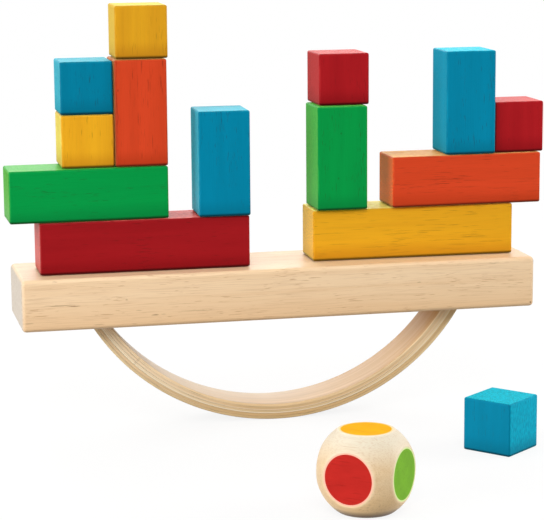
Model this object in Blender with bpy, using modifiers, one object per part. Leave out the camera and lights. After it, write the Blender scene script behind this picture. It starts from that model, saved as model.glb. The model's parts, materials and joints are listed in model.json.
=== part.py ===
"""Wooden balance game: stacked blocks on a beam that rocks on a bent-plywood runner, a loose block and a colour die.

Lengths are in metres and +Z is up. The origin lies on the table under the middle of the rocker, X runs along
the beam to the right, and Y runs away from the front.
"""

import math
from typing import NamedTuple

import bpy
from mathutils import Vector

MM = 0.001

# Beam: a plain board with two slanted slots underneath for the rocker's ends
BEAM_LENGTH = 250.0 * MM
BEAM_DEPTH = 50.0 * MM
BEAM_HEIGHT = 24.6 * MM
BEAM_EDGE = 1.6 * MM
SLOT_DEPTH = 8.0 * MM
SLOT_CLEARANCE = 0.3 * MM
EDGE_SEGMENTS = 2

# Rocker: veneers glued in a bend, with its outside on the table
ROCKER_RADIUS = 106.4 * MM
ROCKER_WIDTH = 24.3 * MM
BEAM_CLEARANCE = 51.9 * MM
PLY_THICKNESS = 1.4 * MM
PLY_COUNT = 5
GLUE_LINE = 0.1 * MM
ROCKER_FACETS = 43

# Blocks: square stock sawn to whole units, a cube being as long as the stock is wide
BLOCK_UNIT = 25.0 * MM
BLOCK_STOCK = 24.65 * MM
BLOCK_EDGE = 0.9 * MM
SEAT_GAP = 0.25 * MM
SIDE_GAP = 0.45 * MM

# Left tower, measured along the beam
LEFT_TOWER_START = 14.65 * MM
GREEN_BAR_OVERHANG = 13.9 * MM
BLUE_POST_OVERHANG = 0.5 * MM
ORANGE_POST_OVERHANG = 0.2 * MM
YELLOW_TOP_OVERHANG = 1.1 * MM

# Right tower, measured along the beam
RIGHT_TOWER_START = 17.75 * MM
GREEN_POST_INSET = 1.4 * MM
RED_TOP_INSET = 1.7 * MM
ORANGE_BAR_OVERHANG = 13.6 * MM
RED_END_OVERHANG = 1.7 * MM

# Die: a wooden ball with six flats, wide enough to leave round faces of that diameter
DIE_ACROSS_FLATS = 34.7 * MM
DIE_FLAT_DIAMETER = 23.6 * MM
DIE_SEGMENTS = 48
DIE_RINGS = 24
DIE_SHARP_ANGLE = 20.0
DIE_PLACE = (1.1 * MM, -167.6 * MM)
DIE_TURN = -40.0

LOOSE_CUBE_PLACE = (86.5 * MM, -89.0 * MM)
LOOSE_CUBE_TURN = 39.9

# Stain and bare-wood colours, linear
COLOURS = {
    "red": (0.366, 0.011, 0.016),
    "orange": (0.644, 0.065, 0.019),
    "yellow": (0.745, 0.366, 0.014),
    "green": (0.003, 0.301, 0.060),
    "blue": (0.001, 0.227, 0.376),
    "rubberwood": (0.831, 0.624, 0.376),
    "veneer": (0.694, 0.448, 0.231),
}
STAIN_ROUGHNESS = 0.55
BARE_WOOD_ROUGHNESS = 0.6


class Block(NamedTuple):
    """A stacked block: its stain, its length in units, and how the hand set it down."""

    stain: str
    units: int
    upright: bool
    set_back: float
    turn: float


BLOCKS = {
    "red_bar": Block("red", 4, False, -3.0 * MM, -0.5),
    "green_bar": Block("green", 3, False, -3.0 * MM, 0.5),
    "blue_post_left": Block("blue", 2, True, -5.0 * MM, -2.0),
    "orange_post": Block("orange", 2, True, -2.5 * MM, 0.0),
    "yellow_cube_low": Block("yellow", 1, True, -1.0 * MM, -0.6),
    "blue_cube_stacked": Block("blue", 1, True, -0.5 * MM, -0.6),
    "yellow_cube_top": Block("yellow", 1, True, -1.0 * MM, -1.2),
    "yellow_bar": Block("yellow", 4, False, 0.5 * MM, -1.2),
    "green_post": Block("green", 2, True, -1.5 * MM, 0.0),
    "red_cube_top": Block("red", 1, True, 2.0 * MM, 0.0),
    "orange_bar": Block("orange", 3, False, -1.5 * MM, 0.4),
    "blue_post_right": Block("blue", 2, True, -2.0 * MM, -0.5),
    "red_cube_end": Block("red", 1, True, 0.0, 0.0),
}


class Seat(NamedTuple):
    """What a block can stand on: the object, its two ends along the beam and its top."""

    piece: bpy.types.Object
    left: float
    right: float
    top: float


def clear_scene():
    for piece in list(bpy.data.objects):
        bpy.data.objects.remove(piece, do_unlink=True)


def new_collection(name):
    collection = bpy.data.collections.new(name)
    bpy.context.scene.collection.children.link(collection)
    return collection


def adopt(piece, name, collection):
    """Name a new object and move it to its collection."""
    piece.name = name
    piece.data.name = name
    for old in list(piece.users_collection):
        old.objects.unlink(piece)
    collection.objects.link(piece)
    return piece


def hang_on(piece, carrier):
    """Parent a piece to what carries it, leaving it where it stands."""
    bpy.context.view_layer.update()
    piece.parent = carrier
    piece.matrix_parent_inverse = carrier.matrix_world.inverted()


def wood(finish, roughness):
    """The material of one finish, made the first time that it is asked for."""
    material = bpy.data.materials.get(finish)
    if material is None:
        material = bpy.data.materials.new(finish)
        material.use_nodes = True
        shader = material.node_tree.nodes["Principled BSDF"]
        shader.inputs["Base Color"].default_value = (*COLOURS[finish], 1.0)
        shader.inputs["Roughness"].default_value = roughness
        shader.inputs["Metallic"].default_value = 0.0
    return material


def round_edges(piece, width):
    bevel = piece.modifiers.new("rounded edges", "BEVEL")
    bevel.width = width
    bevel.segments = EDGE_SEGMENTS
    bevel.limit_method = "ANGLE"


def board(name, size, place, edge, collection, turn=0.0):
    """A rounded box whose origin is the middle of its underside."""
    bpy.ops.mesh.primitive_cube_add(size=1.0)
    piece = adopt(bpy.context.object, name, collection)
    for vertex in piece.data.vertices:
        vertex.co = Vector(side * length for side, length in zip(vertex.co, size))
        vertex.co.z += size[2] / 2
    piece.location = place
    piece.rotation_euler.z = math.radians(turn)
    round_edges(piece, edge)
    return piece


def bent_strip(name, outside, thickness, width, half_angle, collection):
    """A strip bent round the rocking axis at its own origin, with its outer facets touching the outside radius."""
    bpy.ops.mesh.primitive_grid_add(x_subdivisions=ROCKER_FACETS, y_subdivisions=1, size=2.0)
    piece = adopt(bpy.context.object, name, collection)
    corner_radius = outside / math.cos(half_angle / ROCKER_FACETS)
    for vertex in piece.data.vertices:
        angle = vertex.co.x * half_angle
        across = vertex.co.y * width / 2
        vertex.co = (corner_radius * math.sin(angle), across, -corner_radius * math.cos(angle))
    shell = piece.modifiers.new("veneer", "SOLIDIFY")
    shell.thickness = thickness
    shell.offset = 1.0
    shell.use_even_offset = True
    piece.location.z = ROCKER_RADIUS
    return piece


def rocker_thickness():
    return PLY_COUNT * PLY_THICKNESS + (PLY_COUNT - 1) * GLUE_LINE


def rocker_half_angle():
    """Half the bend, from its lowest line to the bottom of a slot in the beam."""
    reach = math.acos((ROCKER_RADIUS - BEAM_CLEARANCE) / ROCKER_RADIUS)
    return reach + SLOT_DEPTH / ROCKER_RADIUS


def make_beam(parts, cutters):
    place = (0.0, 0.0, BEAM_CLEARANCE)
    beam = board("beam", (BEAM_LENGTH, BEAM_DEPTH, BEAM_HEIGHT), place, BEAM_EDGE, parts)
    beam.data.materials.append(wood("rubberwood", BARE_WOOD_ROUGHNESS))
    cutter = bent_strip(
        "rocker_slots",
        ROCKER_RADIUS + SLOT_CLEARANCE,
        rocker_thickness() + 2 * SLOT_CLEARANCE,
        ROCKER_WIDTH + 2 * SLOT_CLEARANCE,
        rocker_half_angle() + SLOT_CLEARANCE / ROCKER_RADIUS,
        cutters,
    )
    cutter.hide_render = True
    cutter.display_type = "WIRE"
    slots = beam.modifiers.new("rocker slots", "BOOLEAN")
    slots.operation = "DIFFERENCE"
    slots.object = cutter
    return Seat(beam, -BEAM_LENGTH / 2, BEAM_LENGTH / 2, BEAM_CLEARANCE + BEAM_HEIGHT)


def make_rocker(axis, parts):
    """The plies, counted from the inside of the bend."""
    for number in range(1, PLY_COUNT + 1):
        depth = (PLY_COUNT - number) * (PLY_THICKNESS + GLUE_LINE)
        ply = bent_strip(
            f"rocker_ply_{number}",
            ROCKER_RADIUS - depth,
            PLY_THICKNESS,
            ROCKER_WIDTH,
            rocker_half_angle(),
            parts,
        )
        ply.data.materials.append(wood("veneer", BARE_WOOD_ROUGHNESS))
        hang_on(ply, axis)


def block_size(units, upright):
    length = BLOCK_STOCK if units == 1 else units * BLOCK_UNIT
    if upright:
        return BLOCK_STOCK, BLOCK_STOCK, length
    return length, BLOCK_STOCK, BLOCK_STOCK


def stack(name, seat, parts, left=None, right=None):
    """Stand a block on its seat, placed along the beam by its left or its right end."""
    block = BLOCKS[name]
    size = block_size(block.units, block.upright)
    if left is None:
        left = right - size[0]
    base = seat.top + SEAT_GAP
    place = (left + size[0] / 2, block.set_back, base)
    piece = board(name, size, place, BLOCK_EDGE, parts, block.turn)
    piece.data.materials.append(wood(block.stain, STAIN_ROUGHNESS))
    hang_on(piece, seat.piece)
    return Seat(piece, left, left + size[0], base + size[2])


def make_left_tower(beam, parts):
    red_bar = stack("red_bar", beam, parts, right=-LEFT_TOWER_START)
    green_bar = stack("green_bar", red_bar, parts, left=red_bar.left - GREEN_BAR_OVERHANG)
    stack("blue_post_left", red_bar, parts, right=red_bar.right + BLUE_POST_OVERHANG)
    orange_post = stack("orange_post", green_bar, parts, right=green_bar.right + ORANGE_POST_OVERHANG)
    yellow_cube = stack("yellow_cube_low", green_bar, parts, right=orange_post.left - SIDE_GAP)
    stack("blue_cube_stacked", yellow_cube, parts, right=yellow_cube.right)
    stack("yellow_cube_top", orange_post, parts, right=orange_post.right + YELLOW_TOP_OVERHANG)


def make_right_tower(beam, parts):
    yellow_bar = stack("yellow_bar", beam, parts, left=RIGHT_TOWER_START)
    green_post = stack("green_post", yellow_bar, parts, left=yellow_bar.left + GREEN_POST_INSET)
    stack("red_cube_top", green_post, parts, left=green_post.left + RED_TOP_INSET)
    orange_bar = stack("orange_bar", yellow_bar, parts, right=yellow_bar.right + ORANGE_BAR_OVERHANG)
    red_cube = stack("red_cube_end", orange_bar, parts, right=orange_bar.right + RED_END_OVERHANG)
    stack("blue_post_right", orange_bar, parts, right=red_cube.left - SIDE_GAP)


def make_loose_cube(parts):
    place = (*LOOSE_CUBE_PLACE, 0.0)
    cube = board("blue_cube_loose", (BLOCK_STOCK,) * 3, place, BLOCK_EDGE, parts, LOOSE_CUBE_TURN)
    cube.data.materials.append(wood("blue", STAIN_ROUGHNESS))


def make_die(parts, cutters):
    ball_radius = math.hypot(DIE_ACROSS_FLATS / 2, DIE_FLAT_DIAMETER / 2)
    middle = Vector((*DIE_PLACE, DIE_ACROSS_FLATS / 2))
    turn = math.radians(DIE_TURN)
    bpy.ops.mesh.primitive_uv_sphere_add(
        segments=DIE_SEGMENTS,
        ring_count=DIE_RINGS,
        radius=ball_radius,
        location=middle,
        rotation=(0.0, 0.0, turn),
    )
    die = adopt(bpy.context.object, "colour_die", parts)
    die.data.materials.append(wood("rubberwood", BARE_WOOD_ROUGHNESS))
    bpy.ops.mesh.primitive_cube_add(size=DIE_ACROSS_FLATS, location=middle, rotation=(0.0, 0.0, turn))
    flats = adopt(bpy.context.object, "die_flats", cutters)
    flats.hide_render = True
    flats.display_type = "WIRE"
    cut = die.modifiers.new("six flats", "BOOLEAN")
    cut.operation = "INTERSECT"
    cut.object = flats
    die.data.shade_smooth()
    die.data.set_sharp_from_angle(angle=math.radians(DIE_SHARP_ANGLE))


def main():
    clear_scene()
    parts = new_collection("balance_game")
    cutters = new_collection("balance_game_cutters")
    axis = bpy.data.objects.new("rock_axis", None)
    axis.location.z = ROCKER_RADIUS
    parts.objects.link(axis)
    beam = make_beam(parts, cutters)
    hang_on(beam.piece, axis)
    make_rocker(axis, parts)
    make_left_tower(beam, parts)
    make_right_tower(beam, parts)
    make_loose_cube(parts)
    make_die(parts, cutters)


main()
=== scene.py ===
"""Looks of a wooden balance game: stained blocks, a beam on a bent-plywood rocker, and a colour die.

Lengths are in metres and +Z is up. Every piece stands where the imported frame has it.
"""

import json
import math
import random
from typing import NamedTuple

import bpy
from bpy.props import FloatProperty, FloatVectorProperty, PointerProperty
from mathutils import Euler, Matrix, Vector


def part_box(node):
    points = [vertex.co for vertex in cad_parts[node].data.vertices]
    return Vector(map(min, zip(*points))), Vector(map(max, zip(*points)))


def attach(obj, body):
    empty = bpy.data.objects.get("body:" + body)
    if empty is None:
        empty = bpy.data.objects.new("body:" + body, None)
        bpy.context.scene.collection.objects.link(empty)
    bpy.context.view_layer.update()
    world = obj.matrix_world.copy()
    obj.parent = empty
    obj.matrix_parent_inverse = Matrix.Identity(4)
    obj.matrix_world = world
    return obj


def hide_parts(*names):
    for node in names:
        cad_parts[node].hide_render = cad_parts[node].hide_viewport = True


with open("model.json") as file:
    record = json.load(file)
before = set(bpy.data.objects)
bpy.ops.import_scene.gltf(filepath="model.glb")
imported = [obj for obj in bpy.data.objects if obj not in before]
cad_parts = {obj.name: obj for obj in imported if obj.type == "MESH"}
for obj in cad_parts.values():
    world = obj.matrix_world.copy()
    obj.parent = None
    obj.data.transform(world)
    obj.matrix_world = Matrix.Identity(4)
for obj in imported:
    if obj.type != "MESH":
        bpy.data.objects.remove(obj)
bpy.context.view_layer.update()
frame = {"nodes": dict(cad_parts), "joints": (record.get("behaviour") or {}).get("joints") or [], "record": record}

bl_info = {
    "name": "Wooden Balance Game",
    "version": (1, 0, 0),
    "blender": (4, 5, 0),
    "location": "View3D > Sidebar > Balance Game",
    "description": "Models and finishes a wooden balance game around its packed frame",
    "category": "Add Mesh",
}

MM = 0.001
BODY_OF = {
    node: body for body, nodes in frame["record"]["behaviour"]["bodies"].items() for node in nodes
}
ROCK_AXIS = Vector(next(joint["pos_m"] for joint in frame["joints"] if joint["name"] == "rock"))
PLIES = sorted(node for node in BODY_OF if node.startswith("rocker_ply_"))

# Points nearer to each other than this count as one
NEAR = 0.01 * MM

# Axes that a piece's grain lies along
ALONG_X = 0
UPRIGHT = 2

# Sockets of a Mix node that mixes colours
MIX_A = 6
MIX_B = 7
MIX_RESULT = 2


def linear(code):
    """Linear red, green and blue of an sRGB hex colour."""
    shares = [int(code[start:start + 2], 16) / 255 for start in (1, 3, 5)]
    return tuple(
        share / 12.92 if share <= 0.04045 else ((share + 0.055) / 1.055) ** 2.4 for share in shares
    )


def shade(colour, factor):
    """A colour made darker or lighter."""
    return tuple(min(1.0, channel * factor) for channel in colour)


def blend_colours(first, second, share):
    """A colour so far on the way from one to another."""
    return tuple(a + (b - a) * share for a, b in zip(first, second))


class PaintedFaceLight(NamedTuple):
    """How much painted light lies on a block's top, left and front, from 0 to 1, and the colour painted there.

    Where no colour is given, the thin stain shows.
    """

    top: float = 0.0
    left: float = 0.0
    front: float = 0.0
    shows: str | None = None


class BlockLook(NamedTuple):
    """One block's finish.

    Its stain and how strong it took, how matt the oil dried, the log it was sawn from, the size of its
    pores in millimetres across and along the grain, the colour of its ends, and the light painted on its faces.
    """

    stain: str
    strength: float
    roughness: float
    log: int
    pore: tuple
    end: str
    light_and_wear: PaintedFaceLight = PaintedFaceLight()


# Paler blue painted as light on the faces that face the light
LIT_BLUE = "#70CED8"
# A block's PaintedFaceLight paints its lit top, left or front paler, as light
BLOCKS = {
    "red_bar": BlockLook("red", 0.88, 0.34, 1, (0.42, 7.0), "#C25E5A", PaintedFaceLight(top=0.75)),
    "green_bar": BlockLook("green", 1.0, 0.32, 2, (0.42, 6.0), "#3E9436"),
    "blue_post_left": BlockLook(
        "blue", 1.0, 0.36, 3, (0.42, 5.0), "#1A92A4", PaintedFaceLight(left=0.24, shows=LIT_BLUE)
    ),
    # The orange post's ends are painted darker, as the shadow of the cube standing on it
    "orange_post": BlockLook("orange", 0.94, 0.40, 4, (0.42, 9.0), "#A8481C"),
    "yellow_cube_low": BlockLook("yellow", 1.06, 0.36, 5, (0.42, 7.0), "#E8B030", PaintedFaceLight(left=0.4)),
    "blue_cube_stacked": BlockLook(
        "blue", 0.90, 0.38, 6, (0.42, 5.0), "#168C9E", PaintedFaceLight(left=0.34, shows=LIT_BLUE)
    ),
    "yellow_cube_top": BlockLook("yellow", 0.92, 0.55, 7, (0.42, 8.0), "#C09024"),
    "yellow_bar": BlockLook("yellow", 1.0, 0.36, 8, (0.32, 13.0), "#F0A200", PaintedFaceLight(top=0.75)),
    "green_post": BlockLook("green", 0.97, 0.42, 9, (0.42, 5.0), "#30A850", PaintedFaceLight(left=0.15)),
    "red_cube_top": BlockLook("red", 1.06, 0.39, 10, (0.42, 5.0), "#8E1E26"),
    "orange_bar": BlockLook("orange", 1.0, 0.42, 11, (0.3, 11.0), "#E83C00", PaintedFaceLight(top=0.45)),
    "blue_post_right": BlockLook("blue", 1.02, 0.48, 12, (0.42, 5.0), "#1AAABF"),
    "red_cube_end": BlockLook("red", 1.10, 0.38, 13, (0.42, 6.0), "#B02830", PaintedFaceLight(top=0.2)),
    "blue_cube_loose": BlockLook("blue", 1.04, 0.60, 14, (0.42, 6.0), "#20B0C4", PaintedFaceLight(front=0.3)),
}

# What a stain looks like where it was rubbed thin, also painted as light on lit faces, and where it is deep, also
# painting shade on edges and towards a foot
THIN_STAIN = {
    "red": "#F06A62", "orange": "#F8CC78", "yellow": "#FFF880", "green": "#80E04C", "blue": "#00D0E8",
}
DEEP_STAIN = {
    "red": "#8C0E16", "orange": "#C23A18", "yellow": "#CE8816", "green": "#00843C", "blue": "#007492",
}


class StainSettings(bpy.types.PropertyGroup):
    """Water stains of the blocks."""

    red: FloatVectorProperty(
        name="Red", description="Red stain on rubberwood",
        subtype="COLOR", default=linear("#A8191F"),
    )
    orange: FloatVectorProperty(
        name="Orange", description="Orange stain on rubberwood",
        subtype="COLOR", default=linear("#DA4624"),
    )
    yellow: FloatVectorProperty(
        name="Yellow", description="Yellow stain on rubberwood",
        subtype="COLOR", default=linear("#E6A81F"),
    )
    green: FloatVectorProperty(
        name="Green", description="Green stain on rubberwood",
        subtype="COLOR", default=linear("#009844"),
    )
    blue: FloatVectorProperty(
        name="Blue", description="Blue stain on rubberwood",
        subtype="COLOR", default=linear("#0083A5"),
    )
    edge: FloatProperty(
        name="Edge", description="Radius of a block's sanded edges",
        default=0.9 * MM, unit="LENGTH",
    )


class BareWoodSettings(bpy.types.PropertyGroup):
    """Bare rubberwood and veneer."""

    rubberwood: FloatVectorProperty(
        name="Rubberwood", description="Oiled rubberwood",
        subtype="COLOR", default=linear("#EFD0A9"),
    )
    heart_streak: FloatVectorProperty(
        name="Heart Streak", description="Brown streaks in the wood",
        subtype="COLOR", default=linear("#A0602A"),
    )
    beam_edge: FloatProperty(
        name="Beam Edge", description="Radius of the beam's sanded edges",
        default=2.1 * MM, unit="LENGTH",
    )
    slot_clearance: FloatProperty(
        name="Slot Clearance", description="Room round the rocker's ends in the beam",
        default=0.3 * MM, unit="LENGTH",
    )
    veneer: FloatVectorProperty(
        name="Veneer", description="Broad face of the rocker's veneers",
        subtype="COLOR", default=linear("#BA9566"),
    )
    ply_edge: FloatProperty(
        name="Ply Edge", description="Radius of the rocker's sanded edges",
        default=0.5 * MM, unit="LENGTH",
    )


class DieSettings(bpy.types.PropertyGroup):
    """Colour die."""

    wood: FloatVectorProperty(
        name="Die Wood", description="Oiled rubberwood of the die",
        subtype="COLOR", default=linear("#E3C79E"),
    )
    red: FloatVectorProperty(
        name="Red Spot", description="Paint of the red spot",
        subtype="COLOR", default=linear("#BE2A24"),
    )
    green: FloatVectorProperty(
        name="Green Spot", description="Paint of the green spot",
        subtype="COLOR", default=linear("#7AB234"),
    )
    yellow: FloatVectorProperty(
        name="Yellow Spot", description="Paint of the yellow spot",
        subtype="COLOR", default=linear("#F0AC08"),
    )
    blue: FloatVectorProperty(
        name="Blue Spot", description="Paint of the blue spot",
        subtype="COLOR", default=linear("#1484B4"),
    )
    orange: FloatVectorProperty(
        name="Orange Spot", description="Paint of the orange spot",
        subtype="COLOR", default=linear("#E06420"),
    )
    violet: FloatVectorProperty(
        name="Violet Spot", description="Paint of the spot underneath",
        subtype="COLOR", default=linear("#7A4C98"),
    )
    spot: FloatProperty(
        name="Spot", description="Radius of a painted spot",
        default=10.6 * MM, unit="LENGTH",
    )
    rim: FloatProperty(
        name="Rim", description="Width of the sanded rim round a flat",
        default=0.45 * MM, unit="LENGTH",
    )


class StageSettings(bpy.types.PropertyGroup):
    """Floor, light and camera."""

    floor: FloatVectorProperty(
        name="Floor", description="Colour of the floor",
        subtype="COLOR", default=linear("#F4F4F2"),
    )
    floor_radius: FloatProperty(
        name="Floor Radius", description="Radius of the round floor",
        default=0.75, unit="LENGTH",
    )
    ambient: FloatProperty(name="Ambient", description="Light from the backdrop", default=0.78)
    camera_place: FloatVectorProperty(
        name="Camera", description="Where the camera stands", subtype="TRANSLATION", unit="LENGTH",
        default=(-219.3 * MM, -976.3 * MM, 256.35 * MM),
    )
    camera_turn: FloatVectorProperty(
        name="Aim", description="Pitch, roll and yaw of the camera", subtype="EULER", unit="ROTATION",
        default=(math.radians(-10.195), math.radians(0.45), math.radians(-12.628)),
    )
    lens: FloatProperty(
        name="Lens", description="Focal length in millimetres",
        default=138.46, unit="CAMERA",
    )


class BalanceGameSettings(bpy.types.PropertyGroup):
    """All that a user would change."""

    stains: PointerProperty(type=StainSettings)
    bare_wood: PointerProperty(type=BareWoodSettings)
    die: PointerProperty(type=DieSettings)
    stage: PointerProperty(type=StageSettings)


# Edges sharper than the first angle are sanded round, and shading is smooth up to the second
SHARP_ANGLE = math.radians(40.0)
SMOOTH_ANGLE = math.radians(35.0)
EDGE_SEGMENTS = 4
PLY_EDGE_SEGMENTS = 3


def new_piece(name, add, **settings):
    """Add a primitive with nothing else selected, and name it."""
    bpy.ops.object.select_all(action="DESELECT")
    add(**settings)
    piece = bpy.context.object
    piece.name = name
    piece.data.name = name
    return piece


def apply_place(piece, **kinds):
    """Move a piece's place, turn or size into its mesh."""
    bpy.ops.object.select_all(action="DESELECT")
    piece.select_set(True)
    bpy.context.view_layer.objects.active = piece
    bpy.ops.object.transform_apply(**kinds)


def apply_modifier(piece, kind, **settings):
    """Add a modifier to the active piece and apply it."""
    bpy.ops.object.modifier_add(type=kind)
    modifier = piece.modifiers[-1]
    for name, value in settings.items():
        setattr(modifier, name, value)
    bpy.ops.object.modifier_apply(modifier=modifier.name)


def round_sharp_edges(radius):
    """Bevel every sharp edge of the active piece."""
    bpy.ops.object.mode_set(mode="EDIT")
    bpy.ops.mesh.select_mode(type="EDGE")
    bpy.ops.mesh.select_all(action="DESELECT")
    bpy.ops.mesh.edges_select_sharp(sharpness=SHARP_ANGLE)
    bpy.ops.mesh.bevel(offset=radius, segments=EDGE_SEGMENTS, profile=0.5, affect="EDGES")
    bpy.ops.object.mode_set(mode="OBJECT")


def smooth_sanded(piece):
    """Shade the active piece smooth round its edges and flat between them."""
    bpy.ops.object.shade_smooth_by_angle(angle=SMOOTH_ANGLE)
    apply_modifier(piece, "WEIGHTED_NORMAL", keep_sharp=True)


def finish_piece(piece, node, materials):
    """Give a piece its materials and put it in the place of its node."""
    for material in materials:
        piece.data.materials.append(material)
    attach(piece, BODY_OF[node])
    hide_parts(node)


def ease(value, low, high):
    """0 at low and before it, 1 at high and past it, and smooth between."""
    share = min(1.0, max(0.0, (value - low) / (high - low)))
    return share * share * (3 - 2 * share)


def paint_points(piece, name, rule):
    """Store a value for each point of a mesh, worked out from its place and normal."""
    values = piece.data.attributes.new(name, "FLOAT", "POINT")
    for vertex in piece.data.vertices:
        values.data[vertex.index].value = rule(vertex.co, vertex.normal)


def add_node(tree, kind, inputs=None, **settings):
    """Add a node, set its properties, and give each named input a value or a link."""
    node = tree.nodes.new(kind)
    for name, value in settings.items():
        setattr(node, name, value)
    for socket, value in (inputs or {}).items():
        if isinstance(value, bpy.types.NodeSocket):
            tree.links.new(value, node.inputs[socket])
        else:
            node.inputs[socket].default_value = value
    return node


def new_material(name):
    """A material with a Principled shader, and its tree."""
    material = bpy.data.materials.new(name)
    material.use_nodes = True
    return material, material.node_tree


def rgba(colour):
    """A colour as a socket takes it."""
    return (*colour, 1.0)


def tint(tree, under, over, pattern, low=0.0, high=1.0, amount=1.0):
    """Lay a colour over another where a pattern rises from low to high."""
    share = add_node(
        tree, "ShaderNodeMapRange",
        {"Value": pattern, "From Min": low, "From Max": high, "To Max": amount},
    ).outputs[0]
    return add_node(
        tree, "ShaderNodeMix", {0: share, MIX_A: under, MIX_B: over}, data_type="RGBA"
    ).outputs[MIX_RESULT]


class Figure(NamedTuple):
    """What a plank shows: dark pores, fine fibres and broad bands, each from 0 to 1."""

    pores: bpy.types.NodeSocket
    fibres: bpy.types.NodeSocket
    bands: bpy.types.NodeSocket


class Plank(NamedTuple):
    """Millimetres across and along the grain of a plank's pores, fibres and bands, and of its wander."""

    pore: tuple
    fibre: tuple
    band: tuple
    wander: float


# A pore is about 0.2 mm wide, which is too fine to show, so pores are drawn 0.3 to 0.8 mm wide
STAINED_FIBRE = (0.35, 18.0)
STAINED_BAND = (6.0, 90.0)
STAINED_WANDER = 2.2
BEAM_PLANK = Plank((0.38, 7.0), (0.4, 24.0), (4.0, 120.0), 2.6)
VENEER_PLANK = Plank((0.8, 12.0), (0.5, 25.0), (3.0, 120.0), 1.0)

# The grain drifts and pores crowd together over so many millimetres across and along it
GRAIN_DRIFT = (14.0, 45.0)
PORE_CROWD = (7.0, 26.0)
CROWD_SHARE = 0.35

# Millimetres across and along the grain of what else shows on a surface
STAINED_END_MOTTLE = (0.7, 0.7)
BARE_END_MOTTLE = (0.9, 0.9)
LIGHT_PATCH = (0.8, 2.2)
EDGE_PATCH = (6.0, 14.0)
PAINT_STREAK = (0.9, 9.0)
PAINT_CLOUD = (6.0, 14.0)

# A piece is sawn from so many millimetres round the middle of a log, and each kind has logs of its own
LOG_REACH = 300.0
BEAM_LOG = 21
DIE_LOG = 31
FIRST_VENEER_LOG = 40
FIRST_PAINT_LOG = 50

# Sanded wood under a thin oil, and paint that dried dull
WOOD_IOR = 1.5
WOOD_RELIEF = 0.03 * MM
PAINT_RELIEF = 0.01 * MM
OIL_GLOSS = 0.06
BARE_GLOSS = 0.25
PAINT_GLOSS = 0.02
FUZZ_WEIGHT = 0.65
FUZZ_ROUGHNESS = 0.4

# Colours of bare wood and of a painted highlight, and the heights up to which painted shade and shadow darken a
# block's foot
CREAM = linear("#F7E6CB")
SANDED_WOOD = linear("#FBE8CA")
VENEER_HIGHLIGHT = linear("#FBEFD6")
PORE_BROWN = linear("#4A2A12")
BARE_END_DARK = linear("#C2B4A2")
BARE_END_PALE = linear("#D2C6B6")
PINK_BAND = (0.97, 0.92, 0.87)
FOOT_SHADOW_START = 0.5 * MM
FOOT_SHADOW_HEIGHT = 1.7 * MM
LOWER_SHADE_HEIGHT = 9.0 * MM


def coat(tree, colour, relief, depth, roughness, gloss, fuzz=None):
    """Join colour, relief and roughness to the shader, and brush a fuzz of raised fibres over it."""
    bump = add_node(
        tree, "ShaderNodeBump", {"Height": relief, "Strength": 1.0, "Distance": depth}
    ).outputs[0]
    shader = tree.nodes["Principled BSDF"]
    shader.inputs["IOR"].default_value = WOOD_IOR
    shader.inputs["Specular IOR Level"].default_value = gloss
    if fuzz:
        shader.inputs["Sheen Weight"].default_value = FUZZ_WEIGHT
        shader.inputs["Sheen Roughness"].default_value = FUZZ_ROUGHNESS
        shader.inputs["Sheen Tint"].default_value = rgba(fuzz)
    tree.links.new(colour, shader.inputs["Base Color"])
    tree.links.new(roughness, shader.inputs["Roughness"])
    tree.links.new(bump, shader.inputs["Normal"])


def grain_noise(tree, place, size, detail=2.0):
    """Noise whose spots are so many millimetres across the grain and along it."""
    across, along = size
    steps = (1 / across, 1 / across, 1 / along)
    scaled = add_node(
        tree, "ShaderNodeVectorMath", {0: place, 1: steps}, operation="MULTIPLY"
    ).outputs[0]
    return add_node(tree, "ShaderNodeTexNoise", {"Vector": scaled, "Scale": 1.0, "Detail": detail})


def plank_figure(tree, place, plank):
    """Figure of a plank whose coordinates are millimetres with Z along the grain."""
    drift = grain_noise(tree, place, GRAIN_DRIFT, detail=1.0).outputs["Color"]
    sway = (plank.wander, plank.wander, 0.0)
    swayed = add_node(
        tree, "ShaderNodeVectorMath", {0: drift, 1: sway, 2: place}, operation="MULTIPLY_ADD"
    ).outputs[0]
    dashes = grain_noise(tree, swayed, plank.pore, detail=1.0).outputs["Fac"]
    crowds = grain_noise(tree, swayed, PORE_CROWD, detail=1.0).outputs["Fac"]
    crowded = add_node(
        tree, "ShaderNodeMath", {0: crowds, 1: CROWD_SHARE, 2: dashes}, operation="MULTIPLY_ADD"
    ).outputs[0]
    pores = add_node(
        tree, "ShaderNodeMapRange", {"Value": crowded, "From Min": 0.83, "From Max": 0.94},
        interpolation_type="SMOOTHSTEP",
    ).outputs[0]
    fibres = grain_noise(tree, swayed, plank.fibre).outputs["Fac"]
    bands = grain_noise(tree, swayed, plank.band).outputs["Fac"]
    return Figure(pores, fibres, bands)


def sunk_pores(tree, figure):
    """Relief of wood whose fibres stand up and whose pores are sunk."""
    return add_node(
        tree, "ShaderNodeMath", {0: figure.pores, 1: -1.0, 2: figure.fibres}, operation="MULTIPLY_ADD"
    ).outputs[0]


def sawn_from(log):
    """Where in its log a piece was sawn, in millimetres."""
    sawn = random.Random(log)
    return tuple(sawn.uniform(-LOG_REACH, LOG_REACH) for axis in range(3))


def plank_place(tree, centre, turn, grain, log):
    """Object coordinates as millimetres in the log a piece was sawn from, with Z along the grain."""
    lay = Euler((0.0, math.pi / 2, turn)) if grain == ALONG_X else Euler((0.0, 0.0, turn))
    offset = Vector(distance * MM for distance in sawn_from(log))
    place = add_node(tree, "ShaderNodeTexCoord").outputs["Object"]
    return add_node(
        tree, "ShaderNodeMapping",
        {"Vector": place, "Location": centre + offset, "Rotation": lay, "Scale": (MM, MM, MM)},
        vector_type="TEXTURE",
    ).outputs["Vector"]


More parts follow.
